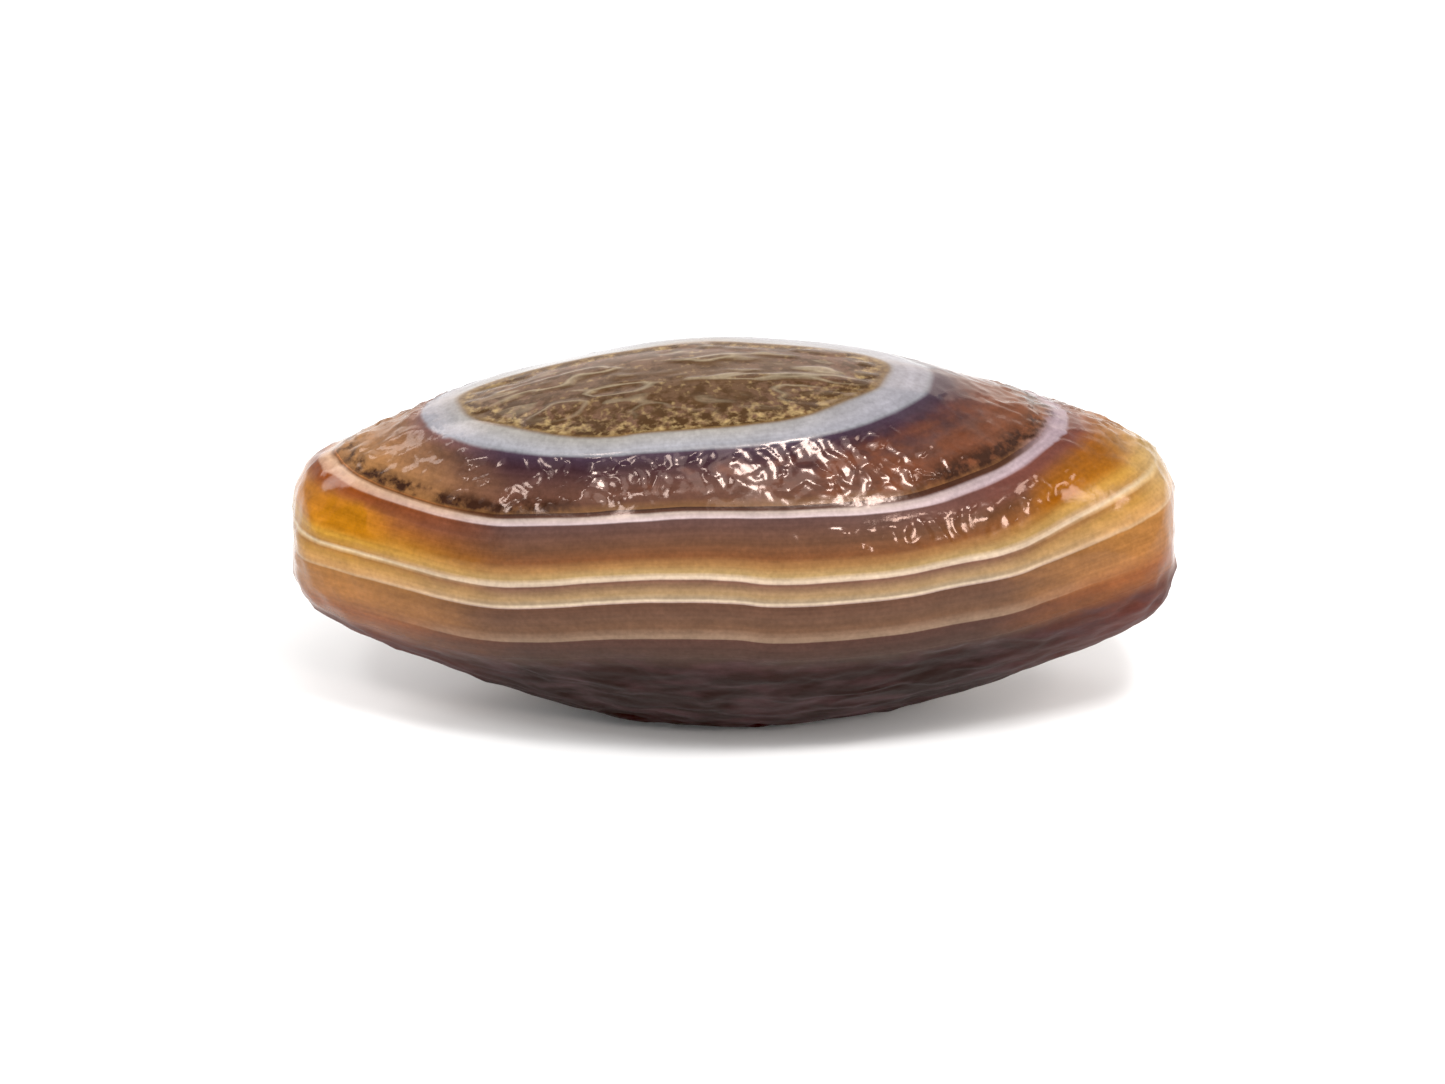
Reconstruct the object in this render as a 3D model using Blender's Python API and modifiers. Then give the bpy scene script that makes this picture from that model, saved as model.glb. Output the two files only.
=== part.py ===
"""Eye agate: one worn, glossy banded stone, barrel-shaped with squared-off ends, lying on its side.

+X runs along the stone, -Y is the side that shows the clear bands, and the stone rests on Z = 0.
"""

import math

import bmesh
import bpy
from mathutils import Matrix, Vector, noise

MM = 0.001

# The outline, which is turned about the stone's long axis
LENGTH = 28.0 * MM
DIAMETER = 12.4 * MM
LEFT_FACE_RADIUS = 0.95 * MM
RIGHT_FACE_RADIUS = 1.25 * MM
SHOULDER_RADIUS = 2.0 * MM  # rounding between an end face and the long side
SHOULDER_TURN = math.radians(64)
SIDE_POWER = 1.9  # 2 swells like an arc, 1 tapers like a cone
ROUND_STEPS = 80
SIDE_STEPS = 24
SHOULDER_STEPS = 4
FACE_RINGS = (0.4, 0.75)  # of an end face's radius
WELD = 0.001 * MM

# The worn flat underneath
FLAT_DEPTH = 0.15 * MM

# The stone's layers lie nearly level. Heights are above the long axis, at mid-length
LAYER_RISE = 0.055  # for each unit to the right
WHITE_LINE = 2.99 * MM
EYE_RING = 4.68 * MM
DARK_BASE = -2.3 * MM
SMOOTH_BELLY = -5.2 * MM
LAYER_EDGE = 0.35 * MM  # over which one layer's surface steps down to the next

# Relief
LUMP_SIZE = 5.0 * MM
LUMP_HEIGHT = 0.05 * MM
LEDGE_DEPTH = 0.07 * MM
PIT_SPACING = 1.15 * MM
PIT_DEPTH = 0.09 * MM
PIT_SHARE = 0.62  # of the spacing that a pit takes up
RIDGE_SPACING = 1.7 * MM
RIDGE_HEIGHT = 0.035 * MM
RIDGE_BEND = 0.9 * MM

# Shell-shaped scoops where chips came off and wore smooth, as (distance along in mm, degrees
# round from the front towards the top, width in mm, depth in mm)
SCOOPS = (
    (-7.7, 48, 3.0, 0.17),
    (-13.6, 99, 1.2, 0.10),
    (-13.9, 45, 1.5, 0.12),
    (-13.3, -48, 1.6, 0.09),
    (-12.6, 160, 1.9, 0.14),
    (-4.4, 172, 3.4, 0.15),
    (5.8, 205, 2.6, 0.12),
    (13.5, 150, 1.7, 0.14),
    (13.6, -50, 1.7, 0.15),
    (12.9, -58, 1.6, 0.12),
    (11.9, -46, 1.5, 0.10),
    (11.0, -60, 1.8, 0.11),
)

SHOULDER_CENTRE = LENGTH / 2 - SHOULDER_RADIUS
SHOULDER_START = SHOULDER_CENTRE + SHOULDER_RADIUS * math.cos(SHOULDER_TURN)
AXIS_HEIGHT = DIAMETER / 2 - FLAT_DEPTH


def clear_scene():
    for obj in list(bpy.data.objects):
        bpy.data.objects.remove(obj, do_unlink=True)


def new_collection(name):
    collection = bpy.data.collections.new(name)
    bpy.context.scene.collection.children.link(collection)
    return collection


def agate_material():
    material = bpy.data.materials.new("polished_brown_agate")
    material.use_nodes = True
    shader = material.node_tree.nodes["Principled BSDF"]
    shader.inputs["Base Color"].default_value = (0.22, 0.10, 0.05, 1.0)
    shader.inputs["Roughness"].default_value = 0.22
    shader.inputs["Metallic"].default_value = 0.0
    shader.inputs["IOR"].default_value = 1.54
    return material


def radius_at(along):
    """Radius of the round section at a distance from mid-length, positive to the right."""
    face_radius = RIGHT_FACE_RADIUS if along > 0 else LEFT_FACE_RADIUS
    reach = min(abs(along), LENGTH / 2)
    if reach > SHOULDER_START:
        return face_radius + math.sqrt(SHOULDER_RADIUS**2 - (reach - SHOULDER_CENTRE) ** 2)
    drop = DIAMETER / 2 - face_radius - SHOULDER_RADIUS * math.sin(SHOULDER_TURN)
    return DIAMETER / 2 - drop * (reach / SHOULDER_START) ** SIDE_POWER


def half_outline(face_radius, sign):
    """(distance along, radius) from an end's pole over its face and shoulder to mid-length."""
    points = [(sign * LENGTH / 2, face_radius * part) for part in (0,) + FACE_RINGS]
    for step in range(SHOULDER_STEPS):
        turn = SHOULDER_TURN * step / SHOULDER_STEPS
        along = sign * (SHOULDER_CENTRE + SHOULDER_RADIUS * math.cos(turn))
        points.append((along, radius_at(along)))
    for step in range(SIDE_STEPS + 1):
        along = sign * SHOULDER_START * (1 - step / SIDE_STEPS)
        points.append((along, radius_at(along)))
    return points


def turned_blank(collection):
    """The outline spun about Z, from the right pole at the top to the left pole, then laid along X."""
    right_half = half_outline(RIGHT_FACE_RADIUS, 1)
    left_half = half_outline(LEFT_FACE_RADIUS, -1)
    outline = bmesh.new()
    stations = right_half + left_half[-2::-1]
    points = [outline.verts.new((radius, 0, along)) for along, radius in stations]
    for upper, lower in zip(points, points[1:]):
        outline.edges.new((upper, lower))
    mesh = bpy.data.meshes.new("agate_outline")
    outline.to_mesh(mesh)
    outline.free()
    profile = bpy.data.objects.new("agate_outline", mesh)
    collection.objects.link(profile)
    screw = profile.modifiers.new("turn", "SCREW")
    screw.axis = "Z"
    screw.angle = math.tau
    screw.steps = ROUND_STEPS
    screw.render_steps = ROUND_STEPS
    screw.use_merge_vertices = True
    screw.merge_threshold = WELD
    graph = bpy.context.evaluated_depsgraph_get()
    blank = bpy.data.meshes.new_from_object(profile.evaluated_get(graph))
    blank.transform(Matrix.Rotation(math.radians(90), 4, "Y"))
    bpy.data.objects.remove(profile, do_unlink=True)
    return blank


def layer_height(place):
    return place.z - LAYER_RISE * place.x


def rise(value, start, width):
    """0 below the start, 1 above the end, and an even slope without corners between them."""
    part = min(max((value - start) / width, 0.0), 1.0)
    return part * part * (3 - 2 * part)


def soft_layers(height):
    """1 in the brown layers, which wear faster than the white ones, and 0 in the others."""
    under_ring = rise(height, WHITE_LINE, LAYER_EDGE) * rise(-height, -EYE_RING, LAYER_EDGE)
    base = rise(height, SMOOTH_BELLY, LAYER_EDGE) * rise(-height, -DARK_BASE, LAYER_EDGE)
    return max(under_ring, base)


def pit_hollow(place):
    """1 at the middle of a pit and 0 outside it."""
    distance = noise.voronoi(place / PIT_SPACING)[0][0]
    return max(0.0, 1 - (distance / PIT_SHARE) ** 2)


def relief(place):
    """How far the surface stands out from the turned blank."""
    height = layer_height(place)
    soft = soft_layers(height)
    lumps = LUMP_HEIGHT * noise.noise(place / LUMP_SIZE)
    pits = soft * PIT_DEPTH * pit_hollow(place)
    bend = RIDGE_BEND * noise.noise(place / LUMP_SIZE)
    wave = math.sin(math.tau * (place.y + bend) / RIDGE_SPACING)
    ridges = RIDGE_HEIGHT * wave * rise(height, EYE_RING, LAYER_EDGE)
    return lumps + ridges - soft * LEDGE_DEPTH - pits


def outward(along, turn):
    """The direction that faces out of the blank, at a distance along and an angle round."""
    step = 0.01 * MM
    slope = (radius_at(along + step) - radius_at(along - step)) / (2 * step)
    return Vector((-slope, -math.cos(turn), math.sin(turn))).normalized()


def press_scoop(mesh, along, turn, width, depth):
    """Pushes every point that lies inside a ball out to the ball, which leaves a shallow round hollow."""
    radius = radius_at(along)
    middle = Vector((along, -radius * math.cos(turn), radius * math.sin(turn)))
    ball_radius = (width**2 / 4 + depth**2) / (2 * depth)
    ball = middle + outward(along, turn) * (ball_radius - depth)
    for vertex in mesh.vertices:
        reach = vertex.co - ball
        if reach.length < ball_radius:
            vertex.co = ball + reach.normalized() * ball_radius


def wear_surface(mesh):
    shifts = [vertex.normal * relief(vertex.co) for vertex in mesh.vertices]
    for vertex, shift in zip(mesh.vertices, shifts):
        vertex.co += shift
    for along, degrees, width, depth in SCOOPS:
        press_scoop(mesh, along * MM, math.radians(degrees), width * MM, depth * MM)


def stand_on_floor(mesh):
    """Centres the stone over the origin, with its long axis as high as the worn flat leaves it."""
    middles = []
    for axis in (0, 1):
        values = [vertex.co[axis] for vertex in mesh.vertices]
        middles.append((min(values) + max(values)) / 2)
    mesh.transform(Matrix.Translation((-middles[0], -middles[1], AXIS_HEIGHT)))


def cut_flat(stone, collection):
    """A block below Z = 0 takes off the belly, which leaves the flat that the stone rests on."""
    bpy.ops.mesh.primitive_cube_add(size=1.0)
    cutter = bpy.context.object
    cutter.name = "below_rest_flat"
    for owner in list(cutter.users_collection):
        owner.objects.unlink(cutter)
    collection.objects.link(cutter)
    block = Vector((LENGTH, DIAMETER, DIAMETER))
    cutter.data.transform(Matrix.Diagonal(block).to_4x4())
    cutter.location.z = -block.z / 2
    cutter.hide_render = True
    cutter.display_type = "WIRE"
    flat = stone.modifiers.new("rest_flat", "BOOLEAN")
    flat.operation = "DIFFERENCE"
    flat.solver = "EXACT"
    flat.object = cutter


def build_agate():
    stones = new_collection("agate")
    cutters = new_collection("agate_cutters")
    mesh = turned_blank(stones)
    mesh.name = "agate"
    wear_surface(mesh)
    stand_on_floor(mesh)
    mesh.shade_smooth()
    mesh.materials.append(agate_material())
    stone = bpy.data.objects.new("agate", mesh)
    stones.objects.link(stone)
    cut_flat(stone, cutters)


clear_scene()
build_agate()
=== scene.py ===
import math

import bmesh
import bpy
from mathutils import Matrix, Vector


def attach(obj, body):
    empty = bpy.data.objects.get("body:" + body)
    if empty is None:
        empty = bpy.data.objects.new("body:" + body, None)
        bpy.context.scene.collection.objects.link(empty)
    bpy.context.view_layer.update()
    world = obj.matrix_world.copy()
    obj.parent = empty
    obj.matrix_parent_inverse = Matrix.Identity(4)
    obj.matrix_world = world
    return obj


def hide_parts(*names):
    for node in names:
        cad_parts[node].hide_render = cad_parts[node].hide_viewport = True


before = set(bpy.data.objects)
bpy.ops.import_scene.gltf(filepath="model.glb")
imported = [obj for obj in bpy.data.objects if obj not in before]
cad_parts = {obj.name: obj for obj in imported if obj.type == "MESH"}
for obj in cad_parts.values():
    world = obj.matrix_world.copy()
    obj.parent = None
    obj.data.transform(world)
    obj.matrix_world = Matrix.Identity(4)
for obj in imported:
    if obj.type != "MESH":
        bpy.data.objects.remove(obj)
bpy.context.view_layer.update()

# The stone: one worn agate, ground long ago into a barrel with squared-off ends and naturally
# polished since. Its form is a turned one. The worn skin of the solid, with its lumps, ledges,
# scoops and rest flat, is laid over it, and the finest relief is cut in last.
MM = 0.001
LENGTH = 28.0 * MM
DIAMETER = 12.4 * MM
FLAT_DEPTH = 0.15 * MM
AXIS_HEIGHT = DIAMETER / 2 - FLAT_DEPTH
POINTS_ALONG = 161
POINTS_AROUND = 113  # on each of the four sides

# The layers' edges, as heights in mm above the stone's long axis, each less the wave they share
EYE_EDGE = 4.47
RING_EDGE = 4.04
WHITE_TOP = 2.42
WHITE_EDGE = 2.20
BASE_TOP = -2.2

# That wave, as (mm along, mm raised): near the axis, at the white layer and at the eye
WAVE_LOW = ((-14, 0.50), (-11.4, 0.35), (-9.8, 0.19), (-9.0, 0.09), (-8.2, 0.04),
            (-7.4, 0.06), (-6.6, 0.15), (-3.5, 0.67), (-1.9, 0.79), (-0.3, 0.80),
            (1.3, 0.64), (3.7, 0.66), (5.3, 0.71), (6.9, 0.86), (8.5, 0.95),
            (10.1, 1.26), (11.7, 1.61), (14, 2.0))
WAVE_MIDDLE = ((-14, 0.55), (-12.2, 0.32), (-10.6, 0.15), (-8.2, 0.04), (-5.8, 0.27),
               (-2.7, 0.62), (-1.1, 0.75), (2.1, 0.75), (5.3, 0.74), (7.7, 0.94),
               (9.3, 1.22), (11, 1.75), (14, 2.3))
WAVE_HIGH = ((-14, 0.2), (-8.2, 0.0), (-6.5, 0.07), (-3.6, 0.34), (-2.2, 0.55), (-0.7, 0.66),
             (2.1, 0.82), (4.0, 0.98), (5.4, 1.12), (6.9, 1.28), (10.0, 1.5), (14, 2.1))
WAVE_SPAN = 14.0  # mm to each side of the middle
WAVE_LIMIT = 2.5  # mm
LOW_TO_MIDDLE = (1.1, 2.7)  # mm of height over which one wave gives way to the next
MIDDLE_TO_HIGH = (3.0, 4.6)
WAVE_FRONT = 5.5  # mm in front of the axis, where the wave is as above
WAVE_SLANT = 0.15  # mm that it moves to the left for each mm further back
EYE_MIDDLE = -2.0  # mm along
CLIMB_START = 3.0  # mm in front of the axis
CLIMB_LENGTH = 4.8  # mm from there towards the back
CLIMB_HEIGHTS = (1.5, 4.6)  # mm, from layers that stay level to those that climb in full
CLIMB_AT_EYE, CLIMB_AT_ENDS = 0.20, 0.02  # mm for each mm further back
WAVER = 0.06  # mm


def add(tree, kind, inputs=None, **settings):
    """Adds a node with its settings, and links or sets its inputs, given by name or number."""
    # By number, a Map Range takes a value (0), where it starts and ends (1, 2) and what it gives
    # there (3, 4). A Mix takes a share (0), and two numbers (2, 3) or two colours (6, 7). A mask
    # that is given as another's input 4 limits it, so that the two are multiplied.
    node = tree.nodes.new(kind)
    for name, value in settings.items():
        setattr(node, name, value)
    for socket, value in (inputs or {}).items():
        if isinstance(value, bpy.types.NodeSocket):
            tree.links.new(value, node.inputs[socket])
        else:
            node.inputs[socket].default_value = value
    return node


def bend_wave(curve_node, points):
    """Gives a curve node the wave's points, scaled to the curve's own 0 to 1."""
    curve = curve_node.mapping.curves[0]
    while len(curve.points) < len(points):
        curve.points.new(0.5, 0.5)
    for point, (along, raised) in zip(curve.points, points):
        point.location = ((along + WAVE_SPAN) / (2 * WAVE_SPAN), raised / WAVE_LIMIT)
    curve_node.mapping.update()


def stone_layers(tree, place):
    """From a place in metres: it in mm from the stone's middle, and its height in the layers."""
    centred = add(tree, "ShaderNodeVectorMath", {0: place, 1: (0.0, 0.0, AXIS_HEIGHT)},
                  operation="SUBTRACT").outputs[0]
    mm = add(tree, "ShaderNodeVectorMath", {0: centred, "Scale": 1 / MM},
             operation="SCALE").outputs[0]
    along, across, height = add(tree, "ShaderNodeSeparateXYZ", {0: mm}).outputs
    # The wave runs a little aslant through the stone, so the back doesn't repeat the front
    depth = add(tree, "ShaderNodeMath", {0: across, 1: WAVE_FRONT}, operation="ADD").outputs[0]
    slant = add(tree, "ShaderNodeMath", {0: depth, 1: WAVE_SLANT, 2: along},
                operation="MULTIPLY_ADD").outputs[0]
    run = add(tree, "ShaderNodeMapRange", {0: slant, 1: -WAVE_SPAN, 2: WAVE_SPAN}).outputs[0]
    waves = []
    for points in (WAVE_LOW, WAVE_MIDDLE, WAVE_HIGH):
        wave = add(tree, "ShaderNodeFloatCurve", {"Value": run})
        bend_wave(wave, points)
        waves.append(wave.outputs[0])
    lower = add(tree, "ShaderNodeMapRange",
                {0: height, 1: LOW_TO_MIDDLE[0], 2: LOW_TO_MIDDLE[1]}).outputs[0]
    upper = add(tree, "ShaderNodeMapRange",
                {0: height, 1: MIDDLE_TO_HIGH[0], 2: MIDDLE_TO_HIGH[1]}).outputs[0]
    low_wave = add(tree, "ShaderNodeMix", {0: lower, 2: waves[0], 3: waves[1]}).outputs[0]
    whole_wave = add(tree, "ShaderNodeMix", {0: upper, 2: low_wave, 3: waves[2]}).outputs[0]
    level = add(tree, "ShaderNodeMath", {0: whole_wave, 1: -WAVE_LIMIT, 2: height},
                operation="MULTIPLY_ADD").outputs[0]
    # Around the eye the upper layers also climb towards the back
    behind = add(tree, "ShaderNodeMath", {0: across, 1: CLIMB_START}, operation="ADD").outputs[0]
    climb_start = add(tree, "ShaderNodeMath", {0: behind, 1: 0.0, 2: 1.0},
                      operation="SMOOTH_MAX").outputs[0]
    climb_stop = add(tree, "ShaderNodeMath", {0: climb_start, 1: CLIMB_LENGTH, 2: 1.5},
                     operation="SMOOTH_MIN").outputs[0]
    climb_run = add(tree, "ShaderNodeMapRange",
                    {0: height, 1: CLIMB_HEIGHTS[0], 2: CLIMB_HEIGHTS[1], 4: climb_stop},
                    interpolation_type="SMOOTHSTEP").outputs[0]
    from_eye = add(tree, "ShaderNodeMath", {0: along, 1: EYE_MIDDLE},
                   operation="SUBTRACT").outputs[0]
    eye_side = add(tree, "ShaderNodeMath", {0: from_eye}, operation="ABSOLUTE").outputs[0]
    climb_slope = add(tree, "ShaderNodeMapRange",
                      {0: eye_side, 1: 2.5, 2: 7.5, 3: -CLIMB_AT_EYE, 4: -CLIMB_AT_ENDS},
                      interpolation_type="SMOOTHSTEP").outputs[0]
    climbing = add(tree, "ShaderNodeMath", {0: climb_run, 1: climb_slope, 2: level},
                   operation="MULTIPLY_ADD").outputs[0]
    # Each layer also wavers by a few hundredths of a mm over its length
    waver = add(tree, "ShaderNodeTexNoise", {"Vector": mm, "Scale": 0.55, "Detail": 2.0}).outputs[0]
    waver_level = add(tree, "ShaderNodeMath", {0: waver, 1: 0.5}, operation="SUBTRACT").outputs[0]
    layer = add(tree, "ShaderNodeMath", {0: waver_level, 1: WAVER, 2: climbing},
                operation="MULTIPLY_ADD").outputs[0]
    return mm, along, layer


def chipped_zone(tree, mm, along, layer):
    """1 where small chips mark the skin: under the ring, and under the right's white layer."""
    across = add(tree, "ShaderNodeSeparateXYZ", {0: mm}).outputs[1]
    front = add(tree, "ShaderNodeMapRange",
                {0: across, 1: -2.5, 2: -0.5, 3: 1.0, 4: 0.3}).outputs[0]
    over_white = add(tree, "ShaderNodeMapRange",
                     {0: layer, 1: WHITE_TOP + 0.12, 2: WHITE_TOP + 0.38},
                     interpolation_type="SMOOTHSTEP").outputs[0]
    crown = add(tree, "ShaderNodeMapRange",
                {0: layer, 1: RING_EDGE, 2: RING_EDGE - 0.15, 4: over_white},
                interpolation_type="SMOOTHSTEP").outputs[0]
    to_right = add(tree, "ShaderNodeMapRange", {0: along, 1: 0.0, 2: 3.5},
                   interpolation_type="SMOOTHSTEP").outputs[0]
    over_cream = add(tree, "ShaderNodeMapRange", {0: layer, 1: 0.8, 2: 1.4, 4: to_right},
                     interpolation_type="SMOOTHSTEP").outputs[0]
    side = add(tree, "ShaderNodeMapRange",
               {0: layer, 1: WHITE_EDGE - 0.30, 2: WHITE_EDGE - 0.42, 4: over_cream},
               interpolation_type="SMOOTHSTEP").outputs[0]
    from_left = add(tree, "ShaderNodeMapRange",
                    {0: along, 1: -10.0, 2: -5.5, 3: 0.15, 4: crown}).outputs[0]
    left_crown = add(tree, "ShaderNodeMath", {0: from_left, 1: crown},
                     operation="MINIMUM").outputs[0]
    both = add(tree, "ShaderNodeMath", {0: left_crown, 1: side}, operation="ADD").outputs[0]
    return add(tree, "ShaderNodeMath", {0: both, 1: front}, operation="MULTIPLY").outputs[0]


CHIP_WIDTH = 0.50  # mm
CHIP_LENGTH = 0.88  # mm
FINE_CHIP_WIDTH = 0.34  # mm
FINE_CHIP_LENGTH = 0.70  # mm
CHIP_LEAN = math.radians(35)  # from upright, to the left
CHIP_STRAY = 1.4  # mm that their rows may stray, so that no two chips are alike
CHIP_TILT = 1.2  # how far a chip's floor slopes, each its own way


def chip_bowls(tree, mm, width, length):
    """Heights of long shell-shaped chips, from about 0 in a bowl's middle to 1 at its rim."""
    along, across, height = add(tree, "ShaderNodeSeparateXYZ", {0: mm}).outputs
    front = add(tree, "ShaderNodeMath", {0: across, 1: -1.0}, operation="MULTIPLY").outputs[0]
    turn = add(tree, "ShaderNodeMath", {0: height, 1: front}, operation="ARCTAN2").outputs[0]
    around = add(tree, "ShaderNodeMath", {0: turn, 1: DIAMETER / 2 / MM},
                 operation="MULTIPLY").outputs[0]
    skin = add(tree, "ShaderNodeCombineXYZ", {0: along, 1: around}).outputs[0]
    stray = add(tree, "ShaderNodeTexNoise",
                {"Vector": skin, "Scale": 0.8, "Detail": 1.0}).outputs[1]
    bent = add(tree, "ShaderNodeVectorMath", {0: stray, 1: (CHIP_STRAY, CHIP_STRAY, 0.0), 2: skin},
               operation="MULTIPLY_ADD").outputs[0]
    leaning = add(tree, "ShaderNodeVectorRotate",
                  {"Vector": bent, "Axis": (0.0, 0.0, 1.0), "Angle": -CHIP_LEAN}).outputs[0]
    cells = add(tree, "ShaderNodeVectorMath", {0: leaning, 1: (1 / width, 1 / length, 0.0)},
                operation="MULTIPLY").outputs[0]
    chip = add(tree, "ShaderNodeTexVoronoi", {"Vector": cells, "Scale": 1.0},
               voronoi_dimensions="2D")
    bowl = add(tree, "ShaderNodeMath", {0: chip.outputs["Distance"], 1: 2.0},
               operation="POWER").outputs[0]
    reach = add(tree, "ShaderNodeVectorMath", {0: cells, 1: chip.outputs["Position"]},
                operation="SUBTRACT").outputs[0]
    tilt = add(tree, "ShaderNodeVectorMath", {0: chip.outputs["Color"], 1: (0.5, 0.5, 0.5)},
               operation="SUBTRACT").outputs[0]
    slope = add(tree, "ShaderNodeVectorMath", {0: reach, 1: tilt},
                operation="DOT_PRODUCT").outputs["Value"]
    return add(tree, "ShaderNodeMath", {0: slope, 1: CHIP_TILT, 2: bowl},
               operation="MULTIPLY_ADD").outputs[0]


PLATES = 5.0
PLATES_PER_MM = (0.26, 1.0, 0.6)  # along, across and upwards, as in what follows


def eye_plates(tree, mm):
    """Counts up the thin plates that lie over one another in the eye, by parts of a plate."""
    grain = add(tree, "ShaderNodeVectorMath", {0: mm, 1: PLATES_PER_MM},
                operation="MULTIPLY").outputs[0]
    plates = add(tree, "ShaderNodeTexNoise",
                 {"Vector": grain, "Scale": 1.0, "Detail": 2.0, "Distortion": 0.3}).outputs[0]
    return add(tree, "ShaderNodeMath", {0: plates, 1: PLATES}, operation="MULTIPLY").outputs[0]


# The stone's mesh grows from a gridded block that is rounded to a ball and drawn out to the barrel
FORM_SIZES = {
    "Length": LENGTH,
    "Diameter": DIAMETER,
    "Left face radius": 0.95 * MM,
    "Right face radius": 1.25 * MM,
    "Shoulder radius": 2.0 * MM,
    "Shoulder turn": math.radians(64),
    "Side power": 1.9,  # 2 would make the side's outline a parabola
    "Axis height": AXIS_HEIGHT,
    "Lump depth": 0.20 * MM,
    "Chip depth": 0.08 * MM,
    "Flake depth": 0.06 * MM,
    "Ledge depth": 0.03 * MM,
    "Recess depth": 0.05 * MM,
    "Wrinkle depth": 0.55 * MM,
    "Nick depth": 0.28 * MM,
    "Fold depth": 0.30 * MM,
}
form = bpy.data.node_groups.new("worn_agate_form", "GeometryNodeTree")
form.interface.new_socket("Worn skin", in_out="INPUT", socket_type="NodeSocketObject")
form.interface.new_socket("Points along", in_out="INPUT", socket_type="NodeSocketInt")
form.interface.new_socket("Points around", in_out="INPUT", socket_type="NodeSocketInt")
for size_name in FORM_SIZES:
    form.interface.new_socket(size_name, in_out="INPUT", socket_type="NodeSocketFloat")
form.interface.new_socket("Surface", in_out="INPUT", socket_type="NodeSocketMaterial")
form.interface.new_socket("Stone", in_out="OUTPUT", socket_type="NodeSocketGeometry")
given = form.nodes.new("NodeGroupInput").outputs

# The ball: how far each point is from the nearer end of the long axis, as an angle
block = add(form, "GeometryNodeMeshCube",
            {"Size": (2.0, 2.0, 2.0), "Vertices X": given["Points along"],
             "Vertices Y": given["Points around"], "Vertices Z": given["Points around"]})
place = add(form, "GeometryNodeInputPosition").outputs[0]
ball = add(form, "ShaderNodeVectorMath", {0: place}, operation="NORMALIZE").outputs[0]
ball_along = add(form, "ShaderNodeSeparateXYZ", {0: ball}).outputs[0]
end_sign = add(form, "ShaderNodeMath", {0: ball_along}, operation="SIGN").outputs[0]
end_share = add(form, "ShaderNodeMath", {0: ball_along}, operation="ABSOLUTE").outputs[0]
polar = add(form, "ShaderNodeMath", {0: end_share}, operation="ARCCOSINE").outputs[0]
is_right = add(form, "ShaderNodeMath", {0: end_sign, 1: 0.0}, operation="GREATER_THAN").outputs[0]
face = add(form, "ShaderNodeMix", {0: is_right, 2: given["Left face radius"],
                                   3: given["Right face radius"]}).outputs[0]

# The outline from an end's pole to mid-length: over the face, round the shoulder, along the side
shoulder, shoulder_turn = given["Shoulder radius"], given["Shoulder turn"]
shoulder_end = add(form, "ShaderNodeMath", {0: shoulder, 1: shoulder_turn, 2: face},
                   operation="MULTIPLY_ADD").outputs[0]
half_length = add(form, "ShaderNodeMath", {0: given["Length"], 1: 0.5},
                  operation="MULTIPLY").outputs[0]
outline_end = add(form, "ShaderNodeMath", {0: half_length, 1: shoulder_end},
                  operation="ADD").outputs[0]
travel = add(form, "ShaderNodeMapRange",
             {0: polar, 1: 0.0, 2: math.pi / 2, 3: 0.0, 4: outline_end}).outputs[0]
face_reach = add(form, "ShaderNodeMath", {0: travel, 1: face}, operation="MINIMUM").outputs[0]
turn = add(form, "ShaderNodeMapRange",
           {0: travel, 1: face, 2: shoulder_end, 3: 0.0, 4: shoulder_turn}).outputs[0]
side = add(form, "ShaderNodeMapRange", {0: travel, 1: shoulder_end, 2: outline_end}).outputs[0]
turn_cosine = add(form, "ShaderNodeMath", {0: turn}, operation="COSINE").outputs[0]
turn_sine = add(form, "ShaderNodeMath", {0: turn}, operation="SINE").outputs[0]
full_cosine = add(form, "ShaderNodeMath", {0: shoulder_turn}, operation="COSINE").outputs[0]
full_sine = add(form, "ShaderNodeMath", {0: shoulder_turn}, operation="SINE").outputs[0]
shoulder_centre = add(form, "ShaderNodeMath", {0: half_length, 1: shoulder},
                      operation="SUBTRACT").outputs[0]
shoulder_along = add(form, "ShaderNodeMath", {0: shoulder, 1: turn_cosine, 2: shoulder_centre},
                     operation="MULTIPLY_ADD").outputs[0]
side_start = add(form, "ShaderNodeMath", {0: shoulder, 1: full_cosine, 2: shoulder_centre},
                 operation="MULTIPLY_ADD").outputs[0]
side_run = add(form, "ShaderNodeMath", {0: side, 1: side_start}, operation="MULTIPLY").outputs[0]
half_along = add(form, "ShaderNodeMath", {0: shoulder_along, 1: side_run},
                 operation="SUBTRACT").outputs[0]
along_place = add(form, "ShaderNodeMath", {0: end_sign, 1: half_along},
                  operation="MULTIPLY").outputs[0]

# The radius there: the side swells to mid-length from what the face and shoulder leave
shoulder_reach = add(form, "ShaderNodeMath", {0: shoulder, 1: turn_sine, 2: face_reach},
                     operation="MULTIPLY_ADD").outputs[0]
full_reach = add(form, "ShaderNodeMath", {0: shoulder, 1: full_sine, 2: face},
                 operation="MULTIPLY_ADD").outputs[0]
half_diameter = add(form, "ShaderNodeMath", {0: given["Diameter"], 1: 0.5},
                    operation="MULTIPLY").outputs[0]
swell = add(form, "ShaderNodeMath", {0: half_diameter, 1: full_reach},
            operation="SUBTRACT").outputs[0]
side_left = add(form, "ShaderNodeMath", {0: 1.0, 1: side}, operation="SUBTRACT").outputs[0]
taper = add(form, "ShaderNodeMath", {0: side_left, 1: given["Side power"]},
            operation="POWER").outputs[0]
swell_share = add(form, "ShaderNodeMath", {0: 1.0, 1: taper}, operation="SUBTRACT").outputs[0]
radius = add(form, "ShaderNodeMath", {0: swell, 1: swell_share, 2: shoulder_reach},
             operation="MULTIPLY_ADD").outputs[0]
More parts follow.
